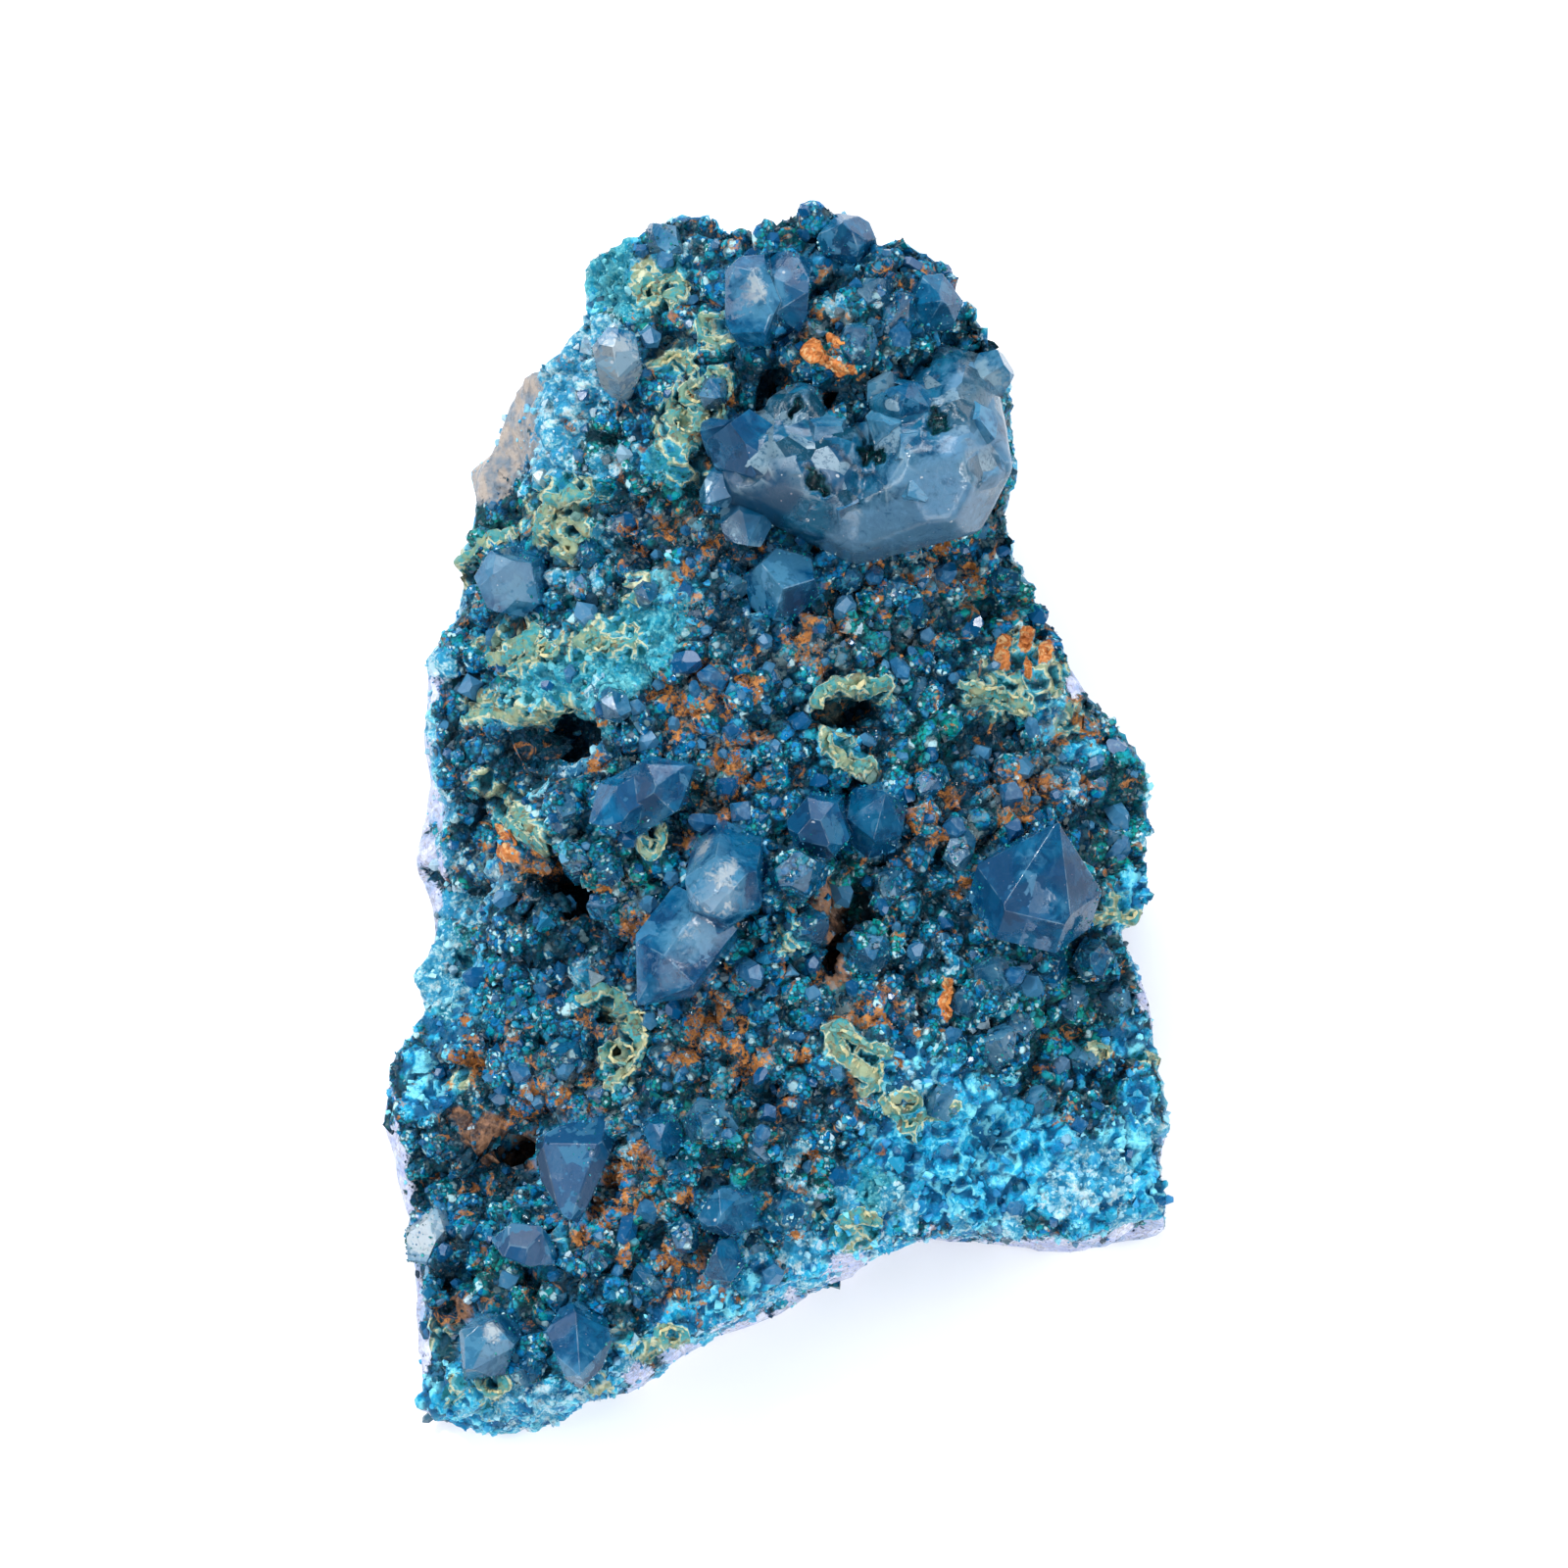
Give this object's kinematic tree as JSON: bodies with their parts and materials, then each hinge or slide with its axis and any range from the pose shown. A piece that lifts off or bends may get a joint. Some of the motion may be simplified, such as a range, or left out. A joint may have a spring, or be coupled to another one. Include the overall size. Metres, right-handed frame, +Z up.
{
  "type": "shattuckite specimen",
  "caption": "Wedge of copper-stained rock whose leaning upper face is a blue and green crust set with pale blue quartz crystals; it lies on its flat broken underside.",
  "frame": {"origin": "middle of the bounding box, on the plane of the flat underside", "axes": "+Z up out of the surface it lies on; +Y towards the high back end; +X to the right seen from the low front"},
  "size_m": [0.052, 0.0776, 0.0282],
  "materials": {
    "rock": "matte, grainy blue and green copper crust on quartz rock",
    "quartz": "glassy to satin, milky blue quartz"
  },
  "bodies": {
    "root": {"matrix": "rock", "quartz_crown": "quartz", "quartz_back_tablet": "quartz", "quartz_peak": "quartz", "quartz_shoulder": "quartz", "quartz_blocky_prism": "quartz", "quartz_left_block": "quartz", "quartz_pale_spray": "quartz", "quartz_centre_left": "quartz", "quartz_centre_twins": "quartz", "quartz_right_pair": "quartz", "quartz_east_pyramid": "quartz", "quartz_west_point": "quartz", "quartz_plate": "quartz", "quartz_corner_pale": "quartz", "quartz_corner_blue": "quartz", "quartz_west_edge": "quartz", "quartz_south_block": "quartz", "quartz_south_wedge": "quartz", "quartz_south_spike": "quartz"}
  },
  "joints": []
}
